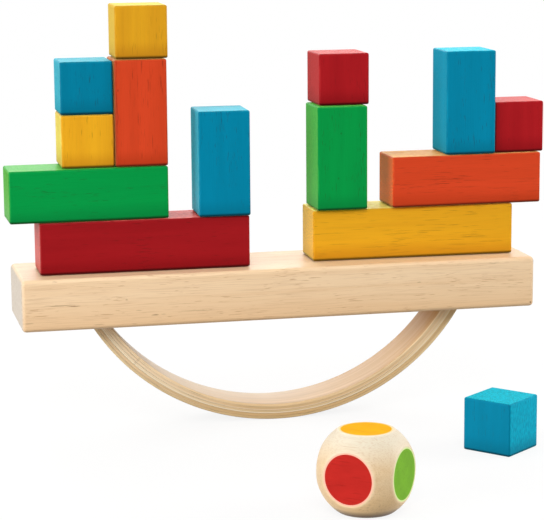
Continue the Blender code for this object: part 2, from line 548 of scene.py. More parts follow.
class Mark(NamedTuple):
    """A dark mark on a front, a grain mark or a painted shadow along a seam: its middle across and up, half its
    length and width, and its tone.

    Lengths are in millimetres, and a tone of 1 is the darkest.
    """

    x: float
    z: float
    half_length: float
    half_width: float
    tone: float


# A mark goes some millimetres into the wood, and its edge wanders by half a millimetre over about three
MARK_DEPTH = 4.0
RAGGED_SHIFT = Vector((1.1 * MM, 0.0, 1.1 * MM))
RAGGED_SCALE = 0.35 / MM
FRONT_MARKS = {
    "beam": (
        Mark(-107.5, 64.2, 9.0, 0.4, 0.5), Mark(-101.0, 63.6, 4.0, 0.4, 0.6),
        Mark(-75.9, 65.3, 0.7, 0.45, 0.4), Mark(-70.1, 60.1, 1.8, 0.35, 0.4),
        Mark(-62.6, 57.4, 2.2, 0.4, 0.6), Mark(-58.6, 57.6, 1.6, 0.35, 0.4),
        Mark(-42.5, 58.6, 9.0, 0.4, 0.3), Mark(-122.4, 56.3, 3.4, 0.45, 0.35),
        Mark(-89.0, 54.3, 3.0, 0.4, 0.5), Mark(-72.4, 53.6, 1.8, 0.35, 0.5),
        Mark(-109.3, 75.4, 1.6, 0.35, 0.4), Mark(66.5, 66.7, 1.2, 0.4, 0.4),
        Mark(104.0, 74.4, 4.0, 0.5, 0.25), Mark(123.2, 54.0, 0.6, 0.6, 0.7),
        Mark(112.5, 65.7, 2.0, 0.35, 0.35),
    ),
    "orange_post": (
        # The first mark is a painted shadow down the left edge, where the cubes beside it stand close
        Mark(-77.9, 150.0, 70.0, 1.2, 0.95), Mark(-76.3, 162.4, 0.7, 0.5, 0.95),
        Mark(-70.6, 163.0, 7.0, 0.35, 0.4), Mark(-68.9, 158.0, 6.0, 0.35, 0.35),
        Mark(-67.3, 166.0, 5.0, 0.35, 0.35), Mark(-66.4, 148.0, 5.0, 0.35, 0.3),
        Mark(-70.0, 140.0, 8.0, 1.6, 0.12),
    ),
    "yellow_cube_low": (Mark(-91.0, 149.2, 2.6, 0.3, 0.55), Mark(-88.9, 141.8, 2.2, 0.3, 0.5)),
    # A painted shadow down the right edge, against the orange post
    "blue_cube_stacked": (Mark(-78.6, 164.0, 40.0, 0.8, 0.8),),
    # A painted shadow down the left edge, beside the blue post
    "red_cube_end": (Mark(108.4, 138.0, 26.0, 0.9, 0.9),),
    "green_post": (Mark(30.8, 138.7, 0.7, 0.5, 0.7), Mark(29.3, 117.2, 0.7, 0.5, 0.6)),
    "yellow_bar": (
        Mark(25.0, 90.2, 9.0, 0.3, 0.4), Mark(39.0, 91.4, 7.0, 0.3, 0.4),
        Mark(60.0, 88.8, 9.0, 0.3, 0.4), Mark(82.0, 84.6, 9.0, 0.3, 0.35),
        Mark(98.0, 86.0, 8.0, 0.3, 0.35), Mark(48.0, 82.5, 8.0, 0.3, 0.35),
        Mark(30.0, 84.6, 7.0, 0.3, 0.3),
    ),
    "orange_bar": (
        Mark(74.0, 108.6, 6.0, 0.3, 0.35), Mark(92.0, 110.6, 9.0, 0.3, 0.35),
        Mark(100.0, 113.6, 7.0, 0.3, 0.3), Mark(112.0, 109.4, 8.0, 0.3, 0.35),
        Mark(122.0, 112.0, 6.0, 0.3, 0.3),
    ),
}


def front_marks(tree, front, marks, fibres, grain):
    """How dark a front is inside its marks, which lie along the grain and break up in its fibres."""
    place = add_node(tree, "ShaderNodeTexCoord").outputs["Object"]
    ragged = add_node(
        tree, "ShaderNodeTexNoise", {"Vector": place, "Scale": RAGGED_SCALE, "Detail": 3.0}
    ).outputs["Color"]
    wavy = add_node(
        tree, "ShaderNodeVectorMath", {0: ragged, 1: RAGGED_SHIFT, 2: place}, operation="MULTIPLY_ADD"
    ).outputs[0]
    inside = None
    for mark in marks:
        across, up = mark.half_length, mark.half_width
        if grain == UPRIGHT:
            across, up = up, across
        middle = Vector((mark.x * MM, front, mark.z * MM)) + RAGGED_SHIFT / 2
        stretched = add_node(
            tree, "ShaderNodeMapping",
            {"Vector": wavy, "Location": middle, "Scale": (across * MM, MARK_DEPTH * MM, up * MM)},
            vector_type="TEXTURE",
        ).outputs["Vector"]
        spot = add_node(
            tree, "ShaderNodeTexGradient", {"Vector": stretched}, gradient_type="SPHERICAL"
        ).outputs["Fac"]
        drawn = add_node(
            tree, "ShaderNodeMapRange", {"Value": spot, "From Max": 0.6, "To Max": mark.tone}
        ).outputs[0]
        inside = drawn if inside is None else add_node(
            tree, "ShaderNodeMath", {0: inside, 1: drawn}, operation="MAXIMUM"
        ).outputs[0]
    strands = add_node(
        tree, "ShaderNodeMapRange", {"Value": fibres, "From Min": 0.4, "From Max": 0.55, "To Min": 0.4}
    ).outputs[0]
    return add_node(tree, "ShaderNodeMath", {0: inside, 1: strands}, operation="MULTIPLY").outputs[0]


def painted_foot_shade(tree, box, reach):
    """How much painted shade darkens a block towards its foot, as shadow falls along its lower edges."""
    side = add_node(tree, "ShaderNodeAttribute", attribute_name="drained_side").outputs["Fac"]
    place = add_node(tree, "ShaderNodeTexCoord").outputs["Object"]
    height = add_node(tree, "ShaderNodeSeparateXYZ", {"Vector": place}).outputs["Z"]
    bottom = box.centre.z - box.size.z / 2
    foot_darkness = add_node(
        tree, "ShaderNodeMapRange",
        {"Value": height, "From Min": bottom + FOOT_SHADOW_START, "From Max": bottom + reach,
         "To Min": 1.0, "To Max": 0.0},
        interpolation_type="SMOOTHSTEP",
    ).outputs[0]
    return add_node(tree, "ShaderNodeMath", {0: side, 1: foot_darkness}, operation="MULTIPLY").outputs[0]


def lit_faces(tree, place):
    """How much painted light lies on the lit faces, in small patches along the grain."""
    lit_and_worn = add_node(tree, "ShaderNodeAttribute", attribute_name="worn_face").outputs["Fac"]
    light_patches = grain_noise(tree, place, LIGHT_PATCH).outputs["Fac"]
    patches = add_node(
        tree, "ShaderNodeMapRange",
        {"Value": light_patches, "From Min": 0.36, "From Max": 0.64, "To Min": 0.45, "To Max": 1.55},
    ).outputs[0]
    return add_node(tree, "ShaderNodeMath", {0: lit_and_worn, 1: patches}, operation="MULTIPLY").outputs[0]


def stained_rubberwood(name, stain, look, box, grain, marks):
    """Rubberwood under a water stain and a thin oil.

    It shows dark pore dashes, faint bands and mottled ends; edges rubbed pale and painted darker as shade, lit
    faces painted paler as light, and painted shade and shadow towards its foot.
    """
    material, tree = new_material(name)
    place = plank_place(tree, box.centre, box.turn, grain, look.log)
    stain = shade(stain, look.strength)
    deep = shade(linear(DEEP_STAIN[look.stain]), look.strength)
    thin = linear(THIN_STAIN[look.stain])
    dark = blend_colours(shade(stain, 0.5), PORE_BROWN, 0.12)
    figure = plank_figure(tree, place, Plank(look.pore, STAINED_FIBRE, STAINED_BAND, STAINED_WANDER))
    band = blend_colours(stain, deep, 0.45)
    colour = tint(tree, rgba(band), rgba(shade(stain, 1.03)), figure.bands, low=0.25, high=0.75)
    colour = tint(tree, colour, rgba(shade(stain, 0.65)), figure.fibres, low=0.5, high=0.75, amount=0.22)
    colour = tint(tree, colour, rgba(dark), figure.pores, amount=0.7)
    end = add_node(tree, "ShaderNodeAttribute", attribute_name="end_grain").outputs["Fac"]
    mottle = grain_noise(tree, place, STAINED_END_MOTTLE).outputs["Fac"]
    end_dark = shade(linear(look.end), 0.6)
    end_pale = blend_colours(shade(linear(look.end), 1.25), thin, 0.06)
    end_colour = tint(tree, rgba(end_dark), rgba(end_pale), mottle, low=0.36, high=0.62)
    colour = tint(tree, colour, end_colour, end, amount=0.95)
    # Painted light: the lit faces are painted paler, in patches
    shows = linear(look.light_and_wear.shows) if look.light_and_wear.shows else thin
    colour = tint(tree, colour, rgba(shows), lit_faces(tree, place))
    # Edges: rubbed paler in patches, and between them painted darker as shade
    edge = add_node(tree, "ShaderNodeAttribute", attribute_name="rubbed_edge").outputs["Fac"]
    light_and_wear = grain_noise(tree, place, EDGE_PATCH).outputs["Fac"]
    edge_pale = blend_colours(stain, thin, 0.25)
    lit_and_worn = tint(tree, rgba(shade(deep, 0.75)), rgba(edge_pale), light_and_wear, low=0.5, high=0.62)
    colour = tint(tree, colour, lit_and_worn, edge, amount=0.4)
    # Marks: dark grain marks, and painted shadows along seams
    if marks:
        inside = front_marks(tree, box.centre.y - box.size.y / 2, marks, figure.fibres, grain)
        colour = tint(tree, colour, rgba(dark), inside)
    # Painted shade darkens a block towards its foot, and a painted shadow lies along its lower edges
    lower_shade = painted_foot_shade(tree, box, LOWER_SHADE_HEIGHT)
    colour = tint(tree, colour, rgba(shade(deep, 0.85)), lower_shade, amount=0.7)
    foot_darkness = painted_foot_shade(tree, box, FOOT_SHADOW_HEIGHT)
    colour = tint(tree, colour, rgba(shade(stain, 0.12)), foot_darkness, amount=0.92)
    roughness = add_node(
        tree, "ShaderNodeMapRange",
        {"Value": mottle, "From Min": 0.3, "From Max": 0.7, "To Min": look.roughness - 0.06,
         "To Max": look.roughness + 0.08},
    ).outputs[0]
    coat(tree, colour, sunk_pores(tree, figure), WOOD_RELIEF, roughness, OIL_GLOSS, thin)
    return material


class Layer(NamedTuple):
    """A stretch of wood of another colour, and the millimetres where it starts and where it is full."""

    colour: str
    start: float
    full: float


# Heights: the beam is warmer below; the die is painted greyer above as sheen, warmer below as bounced light, and
# dark at its foot as shadow
LAYER_SHARE = 0.85
BEAM_LAYERS = (Layer("#E6BE90", 68.0, 52.0),)
DIE_LAYERS = (Layer("#DED6C2", 22.0, 32.0), Layer("#FFD8A0", 17.0, 6.0), Layer("#5A3818", 3.8, 1.2))


def bare_rubberwood(name, wood, streak, box, log, layers, pores, marks=()):
    """Bare oiled rubberwood: cream wood with tan fibres, brown pore dashes and a few dark marks."""
    material, tree = new_material(name)
    place = plank_place(tree, box.centre, box.turn, ALONG_X, log)
    figure = plank_figure(tree, place, BEAM_PLANK)
    pink = tuple(channel * share for channel, share in zip(wood, PINK_BAND))
    colour = tint(tree, rgba(pink), rgba(shade(wood, 1.03)), figure.bands, low=0.32, high=0.6)
    whole = add_node(tree, "ShaderNodeTexCoord").outputs["Object"]
    height = add_node(tree, "ShaderNodeSeparateXYZ", {"Vector": whole}).outputs["Z"]
    # On the die these layers are painted sheen, bounced light and shadow
    for layer in layers:
        tone = rgba(linear(layer.colour))
        colour = tint(tree, colour, tone, height, layer.start * MM, layer.full * MM, LAYER_SHARE)
    tan = blend_colours(wood, streak, 0.5)
    colour = tint(tree, colour, rgba(tan), figure.fibres, low=0.5, high=0.75, amount=0.5)
    colour = tint(tree, colour, rgba(streak), figure.pores, amount=pores)
    end = add_node(tree, "ShaderNodeAttribute", attribute_name="end_grain").outputs["Fac"]
    mottle = grain_noise(tree, place, BARE_END_MOTTLE).outputs["Fac"]
    end_colour = tint(tree, rgba(BARE_END_DARK), rgba(BARE_END_PALE), mottle, low=0.36, high=0.64)
    colour = tint(tree, colour, end_colour, end, amount=0.95)
    if marks:
        inside = front_marks(tree, box.centre.y - box.size.y / 2, marks, figure.fibres, ALONG_X)
        colour = tint(tree, colour, rgba(shade(streak, 0.5)), inside)
    pale = add_node(tree, "ShaderNodeAttribute", attribute_name="sanded_rim").outputs["Fac"]
    colour = tint(tree, colour, rgba(CREAM), pale, amount=0.25)
    roughness = add_node(
        tree, "ShaderNodeMapRange", {"Value": figure.fibres, "To Min": 0.32, "To Max": 0.5}
    ).outputs[0]
    coat(tree, colour, sunk_pores(tree, figure), WOOD_RELIEF, roughness, BARE_GLOSS)
    return material


# Millimetres over which a spot's edge fades, and how much of its colour the sanded wood round it took
SPOT_BLUR = 0.12
SPOT_BLEED = 0.36


def spot_paint(name, colour, spot, centre, turn, log):
    """Paint printed on a sanded flat: an even coat with faint streaks, and pale wood round it."""
    material, tree = new_material(name)
    place = plank_place(tree, centre, turn, ALONG_X, log)
    streaks = grain_noise(tree, place, PAINT_STREAK).outputs["Fac"]
    cloud = grain_noise(tree, place, PAINT_CLOUD).outputs["Fac"]
    coated = tint(tree, rgba(shade(colour, 0.94)), rgba(shade(colour, 1.06)), cloud, low=0.35, high=0.65)
    coated = tint(tree, coated, rgba(shade(colour, 0.62)), streaks, low=0.58, high=0.75, amount=0.6)
    away = add_node(tree, "ShaderNodeAttribute", attribute_name="from_middle").outputs["Fac"]
    vivid = tuple(channel / max(colour) for channel in colour)
    bare = blend_colours(SANDED_WOOD, vivid, SPOT_BLEED)
    limit = spot / MM
    drawn = tint(tree, coated, rgba(bare), away, low=limit - SPOT_BLUR, high=limit + SPOT_BLUR)
    roughness = add_node(
        tree, "ShaderNodeMapRange", {"Value": cloud, "To Min": 0.36, "To Max": 0.5}
    ).outputs[0]
    coat(tree, drawn, streaks, PAINT_RELIEF, roughness, PAINT_GLOSS)
    return material


class Box(NamedTuple):
    """A CAD block's place: its middle, its size along its own sides, and its turn about Z."""

    centre: Vector
    size: Vector
    turn: float


def measure_box(node):
    """Read a block's place from its CAD mesh, whose widest upright face gives its turn."""
    mesh = frame["nodes"][node].data
    upright = [face for face in mesh.polygons if abs(face.normal.z) < 0.1]
    widest = max(upright, key=lambda face: face.area)
    quarter = math.pi / 2
    turn = (math.atan2(widest.normal.y, widest.normal.x) + quarter / 2) % quarter - quarter / 2
    points = [Matrix.Rotation(-turn, 3, "Z") @ vertex.co for vertex in mesh.vertices]
    low = Vector(min(point[axis] for point in points) for axis in range(3))
    high = Vector(max(point[axis] for point in points) for axis in range(3))
    return Box(Matrix.Rotation(turn, 3, "Z") @ ((low + high) / 2), high - low, turn)


def rounded_box(name, box, edge):
    """A sanded box, with its place in its mesh."""
    piece = new_piece(name, bpy.ops.mesh.primitive_cube_add, size=1.0)
    piece.scale = box.size
    apply_place(piece, scale=True)
    round_sharp_edges(edge)
    piece.location = box.centre
    piece.rotation_euler.z = box.turn
    apply_place(piece, location=True, rotation=True)
    return piece


def mark_end_grain(piece, turn, grain):
    """Mark the ends of a box, where the saw cut across its grain."""
    upright = Matrix.Rotation(-turn, 3, "Z")
    paint_points(
        piece, "end_grain", lambda place, normal: ease(abs((upright @ normal)[grain]), 0.6, 0.9)
    )


def mark_light_and_wear(piece, turn, light_and_wear):
    """Mark a block's edges, rubbed and painted as shade, its faces painted as light, and its sides, whose lower
    part is painted as shade.
    """
    upright = Matrix.Rotation(-turn, 3, "Z")

    def lit_and_worn(place, normal):
        facing = upright @ normal
        faces = ((light_and_wear.top, facing.z), (light_and_wear.left, -facing.x), (light_and_wear.front, -facing.y))
        return sum(share * ease(towards, 0.8, 0.95) for share, towards in faces)

    paint_points(
        piece, "rubbed_edge", lambda place, normal: 1 - ease(max(map(abs, upright @ normal)), 0.8, 0.97)
    )
    paint_points(piece, "worn_face", lit_and_worn)
    paint_points(piece, "drained_side", lambda place, normal: 1 - ease(-normal.z, 0.93, 0.97))


# A block that is longer than high by more than this lies along the beam
LYING = 1.01


class OBJECT_OT_balance_blocks(bpy.types.Operator):
    """Model the stained blocks, those of the two towers and the loose one"""

    bl_idname = "object.balance_blocks"
    bl_label = "Stained Blocks"

    def execute(self, context):
        stains = context.scene.balance_game.stains
        for node, look in BLOCKS.items():
            box = measure_box(node)
            grain = ALONG_X if box.size.x > LYING * box.size.z else UPRIGHT
            piece = rounded_box(f"{node}_stained", box, stains.edge)
            mark_end_grain(piece, box.turn, grain)
            mark_light_and_wear(piece, box.turn, look.light_and_wear)
            smooth_sanded(piece)
            stain = tuple(getattr(stains, look.stain))
            name = f"{look.stain}-stained rubberwood, {node}"
            wood = stained_rubberwood(name, stain, look, box, grain, FRONT_MARKS.get(node))
            finish_piece(piece, node, [wood])
        return {"FINISHED"}


class Bend(NamedTuple):
    """A ply's place in the rocker: its outer and inner radius, its half width and half its angle."""

    outside: float
    inside: float
    half_width: float
    half_angle: float


def bend_angle(place):
    """Angle of a point round the rocking axis, from the lowest line."""
    return math.atan2(place.x - ROCK_AXIS.x, ROCK_AXIS.z - place.z)


def bend_radius(place):
    """Distance of a point from the rocking axis."""
    return math.hypot(place.x - ROCK_AXIS.x, ROCK_AXIS.z - place.z)


# Half the width of a ply's lowest facet in the CAD mesh, and the facets that a bend gets here
LOWEST_FACET = 4 * MM
ROCKER_STEPS = 120


def measure_bend(node):
    """Read a ply's place from its CAD mesh, whose lowest facet lies flat under the axis."""
    places = [vertex.co for vertex in frame["nodes"][node].data.vertices]
    lowest = [place.z for place in places if abs(place.x - ROCK_AXIS.x) < LOWEST_FACET]
    half_angle = max(bend_angle(place) for place in places)
    half_width = max(place.y for place in places)
    return Bend(ROCK_AXIS.z - min(lowest), ROCK_AXIS.z - max(lowest), half_width, half_angle)


def bent_strip(name, bend):
    """Spin a strip's end face round the rocking axis."""
    middle = (bend.outside + bend.inside) / 2
    start = ROCK_AXIS + middle * Vector((math.sin(bend.half_angle), 0.0, -math.cos(bend.half_angle)))
    piece = new_piece(
        name, bpy.ops.mesh.primitive_plane_add, size=1.0, location=start,
        rotation=(0.0, math.pi / 2 - bend.half_angle, 0.0),
    )
    piece.scale = (bend.outside - bend.inside, 2 * bend.half_width, 1.0)
    apply_place(piece, location=True, rotation=True, scale=True)
    bpy.ops.object.mode_set(mode="EDIT")
    bpy.ops.mesh.select_all(action="SELECT")
    bpy.ops.mesh.spin(
        steps=ROCKER_STEPS, angle=2 * bend.half_angle, center=ROCK_AXIS, axis=(0.0, -1.0, 0.0)
    )
    bpy.ops.mesh.select_all(action="SELECT")
    bpy.ops.mesh.normals_make_consistent(inside=False)
    bpy.ops.object.mode_set(mode="OBJECT")
    return piece


def round_bend_edge(radius, edge):
    """Round the two long edges of the active strip that lie at a radius."""
    bpy.ops.object.mode_set(mode="EDIT")
    bpy.ops.mesh.select_mode(type="EDGE")
    bpy.ops.mesh.select_all(action="DESELECT")
    bpy.ops.object.mode_set(mode="OBJECT")
    mesh = bpy.context.object.data
    for line in mesh.edges:
        ends = [mesh.vertices[index].co for index in line.vertices]
        along = abs(ends[0].y - ends[1].y) < NEAR
        line.select = along and all(abs(bend_radius(end) - radius) < NEAR for end in ends)
    bpy.ops.object.mode_set(mode="EDIT")
    bpy.ops.mesh.bevel(offset=edge, segments=PLY_EDGE_SEGMENTS, profile=0.5, affect="EDGES")
    bpy.ops.object.mode_set(mode="OBJECT")


class OBJECT_OT_balance_beam(bpy.types.Operator):
    """Model the beam, with the slots that hold the rocker's ends"""

    bl_idname = "object.balance_beam"
    bl_label = "Beam"

    def execute(self, context):
        bare = context.scene.balance_game.bare_wood
        box = measure_box("beam")
        room = bare.slot_clearance
        inner = measure_bend(PLIES[0])
        outer = measure_bend(PLIES[-1])
        slots = Bend(
            outer.outside + room, inner.inside - room, outer.half_width + room,
            outer.half_angle + room / outer.outside,
        )
        cutter = bent_strip("slot_cutter", slots)
        piece = rounded_box("beam_board", box, bare.beam_edge)
        apply_modifier(piece, "BOOLEAN", operation="DIFFERENCE", solver="EXACT", object=cutter)
        bpy.data.objects.remove(cutter)
        mark_end_grain(piece, box.turn, ALONG_X)
        smooth_sanded(piece)
        wood = bare_rubberwood(
            "oiled rubberwood, beam", tuple(bare.rubberwood), tuple(bare.heart_streak), box, BEAM_LOG,
            BEAM_LAYERS, pores=0.5, marks=FRONT_MARKS["beam"],
        )
        finish_piece(piece, "beam", [wood])
        return {"FINISHED"}


class PlyLook(NamedTuple):
    """One veneer: its edge's colour, how far that is set back, its painted highlight line outside, and its scarf.

    The scarf is where its edge shows a joint, in millimetres along the bend from the lowest line.
    """

    edge: str
    set_back: float
    line: float
    scarf: float | None


PLY_LOOKS = {
    "rocker_ply_1": PlyLook("#EFCD9D", 0.05 * MM, 0.0, -76.0),
    "rocker_ply_2": PlyLook("#E8C393", 0.08 * MM, 0.35, -77.2),
    "rocker_ply_3": PlyLook("#EACA9B", 0.0, 0.7, -78.4),
    "rocker_ply_4": PlyLook("#E0B984", 0.20 * MM, 0.0, None),
    "rocker_ply_5": PlyLook("#DCBA87", 0.15 * MM, 0.0, None),
}


def lay_veneer(piece, outside):
    """Store each point's place in the flat veneer: millimetres across, into it, and along the bend."""
    values = piece.data.attributes.new("veneer_place", "FLOAT_VECTOR", "POINT")
    for vertex in piece.data.vertices:
        along = bend_angle(vertex.co) * outside / MM
        depth = (outside - bend_radius(vertex.co)) / MM
        across = vertex.co.y / MM
        values.data[vertex.index].vector = (across, depth, along)


# A veneer's face is painted paler to the left as light and darker, warmer to the right as shade; it is also paler
# to the back
PALE_VENEER = "#D8C6AE"
PALE_BACK = (-9.0, 12.0)
FACE_LAYERS = (
    Layer("#F0E4CE", -12.0, -56.0), Layer("#B58A50", -4.0, 38.0), Layer("#CFA05C", 50.0, 72.0),
)

# Its sawn edge is painted paler to both ends as light, with a glue line where it is scarfed and a painted
# highlight line outside
LIT_EDGE_END = (1.13, 1.22, 1.4)
LIT_EDGE_REACH = (20.0, 75.0)
SCARF_HALF_WIDTH = 0.6
LINE_DEPTH = (0.6, 0.35)


def bent_veneer(name, face_colour, look, log):
    """Sliced veneer, glued in a bend and sanded: fine fibres, with the plies' edges a tone apart, and light, shade
    and a highlight painted along the bend.
    """
    material, tree = new_material(name)
    veneer = add_node(tree, "ShaderNodeAttribute", attribute_name="veneer_place").outputs["Vector"]
    place = add_node(
        tree, "ShaderNodeVectorMath", {0: veneer, 1: sawn_from(log)}, operation="ADD"
    ).outputs[0]
    figure = plank_figure(tree, place, VENEER_PLANK)
    edge = add_node(tree, "ShaderNodeAttribute", attribute_name="sawn_edge").outputs["Fac"]
    spread = add_node(tree, "ShaderNodeSeparateXYZ", {"Vector": veneer}).outputs
    across, depth, along = spread["X"], spread["Y"], spread["Z"]
    from_middle = add_node(tree, "ShaderNodeMath", {0: along}, operation="ABSOLUTE").outputs[0]
    edge_colour = linear(look.edge)
    lit_end = tuple(min(1.0, channel * share) for channel, share in zip(edge_colour, LIT_EDGE_END))
    face = tint(tree, rgba(face_colour), rgba(linear(PALE_VENEER)), across, *PALE_BACK)
    # Painted light and shade along the bend
    for layer in FACE_LAYERS:
        tone = rgba(linear(layer.colour))
        face = tint(tree, face, tone, along, layer.start, layer.full, LAYER_SHARE)
    # The sawn edge is painted paler towards its ends, as light
    sawn = tint(tree, rgba(edge_colour), rgba(lit_end), from_middle, *LIT_EDGE_REACH)
    colour = tint(tree, face, sawn, edge)
    band = shade(edge_colour, 0.86)
    colour = tint(tree, colour, rgba(band), figure.bands, low=0.35, high=0.7, amount=0.5)
    streak = tint(tree, rgba(shade(edge_colour, 0.8)), rgba(shade(edge_colour, 0.62)), edge)
    colour = tint(tree, colour, streak, figure.fibres, low=0.48, high=0.72, amount=0.55)
    colour = tint(tree, colour, rgba(shade(edge_colour, 0.5)), figure.pores, amount=0.45)
    if look.scarf:
        scarfed = add_node(
            tree, "ShaderNodeMath", {0: along, 1: look.scarf, 2: SCARF_HALF_WIDTH}, operation="COMPARE"
        ).outputs[0]
        glued = add_node(tree, "ShaderNodeMath", {0: scarfed, 1: edge}, operation="MULTIPLY").outputs[0]
        colour = tint(tree, colour, rgba(shade(edge_colour, 0.45)), glued, amount=0.32)
    # A painted highlight: a pale line along the outer part of a ply's edge
    if look.line:
        start, full = LINE_DEPTH
        outer = add_node(
            tree, "ShaderNodeMapRange",
            {"Value": depth, "From Min": start, "From Max": full, "To Max": look.line},
        ).outputs[0]
        highlight = add_node(tree, "ShaderNodeMath", {0: outer, 1: edge}, operation="MULTIPLY").outputs[0]
        colour = tint(tree, colour, rgba(VENEER_HIGHLIGHT), highlight)
    roughness = add_node(
        tree, "ShaderNodeMapRange", {"Value": figure.fibres, "To Min": 0.32, "To Max": 0.5}
    ).outputs[0]
    coat(tree, colour, figure.fibres, WOOD_RELIEF, roughness, BARE_GLOSS)
    return material


class OBJECT_OT_balance_rocker(bpy.types.Operator):
    """Model the rocker's five bent veneers"""

    bl_idname = "object.balance_rocker"
    bl_label = "Rocker Plies"

    def execute(self, context):
        bare = context.scene.balance_game.bare_wood
        for number, node in enumerate(PLIES):
            look = PLY_LOOKS[node]
            bend = measure_bend(node)
            sanded = bend._replace(half_width=bend.half_width - look.set_back)
            piece = bent_strip(f"{node}_veneer", sanded)
            if node == PLIES[0]:
                round_bend_edge(bend.inside, bare.ply_edge)
            if node == PLIES[-1]:
                round_bend_edge(bend.outside, bare.ply_edge)
            lay_veneer(piece, bend.outside)
            paint_points(piece, "sawn_edge", lambda place, normal: ease(abs(normal.y), 0.5, 0.8))
            smooth_sanded(piece)
            log = FIRST_VENEER_LOG + number
            wood = bent_veneer(f"sliced veneer, {node}", tuple(bare.veneer), look, log)
            finish_piece(piece, node, [wood])
        return {"FINISHED"}


# Rings of points round a flat's axis: all of them, then the edges of the spot, the flat and its rim
DIE_GRID = 32
SPOT_RING = 18
FLAT_RING = 21
RIM_RING = 23
DIE_TURN = math.radians(-40.0)
SPOTS = {
    "red": Vector((0.0, -1.0, 0.0)),
    "green": Vector((1.0, 0.0, 0.0)),
    "yellow": Vector((0.0, 0.0, 1.0)),
    "blue": Vector((0.0, 1.0, 0.0)),
    "orange": Vector((-1.0, 0.0, 0.0)),
    "violet": Vector((0.0, 0.0, -1.0)),
}


class DieShape(NamedTuple):
    """A die's half width across its flats, the radius of a flat and a spot, and the width of a rim."""

    half: float
    flat: float
    spot: float
    rim: float


def measure_die(die):
    """Read the die from its CAD mesh, whose points on the top give a flat's radius."""
    places = [vertex.co for vertex in frame["nodes"]["colour_die"].data.vertices]
    low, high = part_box("colour_die")
    half = high.z / 2
    middle = Vector(((low.x + high.x) / 2, (low.y + high.y) / 2, half))
    flat = max((place - middle).xy.length for place in places if place.z > high.z - NEAR)
    return middle, DieShape(half, flat, die.spot, die.rim)


def die_profile(shape, ring, angle):
    """Distance from a flat's axis and height along it, for a ring of points and an angle round it."""
    ball = math.hypot(shape.half, shape.flat)
    rim_tilt = math.atan2(shape.flat, shape.half)
    if ring <= SPOT_RING:
        return shape.spot * ring / SPOT_RING, shape.half
    if ring <= FLAT_RING:
        share = (ring - SPOT_RING) / (FLAT_RING - SPOT_RING)
        return shape.spot + (shape.flat - shape.rim - shape.spot) * share, shape.half
    if ring < RIM_RING:
        sunk = shape.rim * math.sin(rim_tilt / 2) / 2
        return shape.flat - sunk * math.sin(rim_tilt / 2), shape.half - sunk * math.cos(rim_tilt / 2)
    seam_tilt = math.atan(1 / math.cos(angle))
    ball_tilt = rim_tilt + shape.rim / ball
    tilt = ball_tilt + (seam_tilt - ball_tilt) * (ring - RIM_RING) / (DIE_GRID - RIM_RING)
    return ball * math.sin(tilt), ball * math.cos(tilt)


def die_point(shape, place):
    """Move a point of a cube of half size 1 to the die, ring by ring round its face's axis."""
    axis = max(range(3), key=lambda index: abs(place[index]))
    first, second = [index for index in range(3) if index != axis]
    u, v = place[first], place[second]
    ring = round(max(abs(u), abs(v)) * DIE_GRID)
    if ring == 0:
        angle = local = 0.0
    elif abs(u) >= abs(v):
        local = math.pi / 4 * v / abs(u)
        angle = local if u > 0 else math.pi - local
    else:
        local = math.pi / 4 * u / abs(v)
        angle = math.pi / 2 - local if v > 0 else local - math.pi / 2
    distance, height = die_profile(shape, ring, local)
    moved = Vector((0.0, 0.0, 0.0))
    moved[axis] = math.copysign(height, place[axis])
    moved[first] = distance * math.cos(angle)
    moved[second] = distance * math.sin(angle)
    return moved


def from_axis(place, way):
    """Distance of a point of the die from a flat's axis."""
    return (place - place.dot(way) * way).length


class OBJECT_OT_balance_die(bpy.types.Operator):
    """Model the colour die: a ball with six flats and a painted spot on each"""

    bl_idname = "object.balance_die"
    bl_label = "Colour Die"

    def execute(self, context):
        game = context.scene.balance_game
        middle, shape = measure_die(game.die)
        piece = new_piece("colour_die_ball", bpy.ops.mesh.primitive_cube_add, size=2.0)
        bpy.ops.object.mode_set(mode="EDIT")
        bpy.ops.mesh.subdivide(number_cuts=2 * DIE_GRID - 1)
        bpy.ops.object.mode_set(mode="OBJECT")
        for vertex in piece.data.vertices:
            vertex.co = die_point(shape, vertex.co)
        paint_points(
            piece, "from_middle",
            lambda place, normal: min(from_axis(place, way) for way in SPOTS.values()) / MM,
        )
        rim = shape.flat + shape.rim
        paint_points(
            piece, "sanded_rim",
            lambda place, normal: ease(
                min(from_axis(place, way) for way in SPOTS.values() if place.dot(way) > 0),
                rim + shape.rim, rim - shape.rim,
            ),
        )
        for face in piece.data.polygons:
            for number, way in enumerate(SPOTS.values()):
                if face.center.dot(way) > shape.half - NEAR:
                    face.material_index = number + 1
        piece.location = middle
        piece.rotation_euler.z = DIE_TURN
        apply_place(piece, location=True, rotation=True)
        bpy.ops.object.shade_smooth()
        wood = bare_rubberwood(
            "oiled rubberwood, die", tuple(game.die.wood), tuple(game.bare_wood.heart_streak),
            Box(middle, Vector((2 * shape.half,) * 3), DIE_TURN), DIE_LOG, DIE_LAYERS, pores=0.12,
        )
        paints = [
            spot_paint(
                f"spot paint, {name}", tuple(getattr(game.die, name)), shape.spot, middle, DIE_TURN,
                FIRST_PAINT_LOG + number,
            )
            for number, name in enumerate(SPOTS)
        ]
        finish_piece(piece, "colour_die", [wood, *paints])
        return {"FINISHED"}


# Shares of the backdrop's light that come from the room in front and from the ground
ROOM_SHARE = 0.4
GROUND_SHARE = 0.2


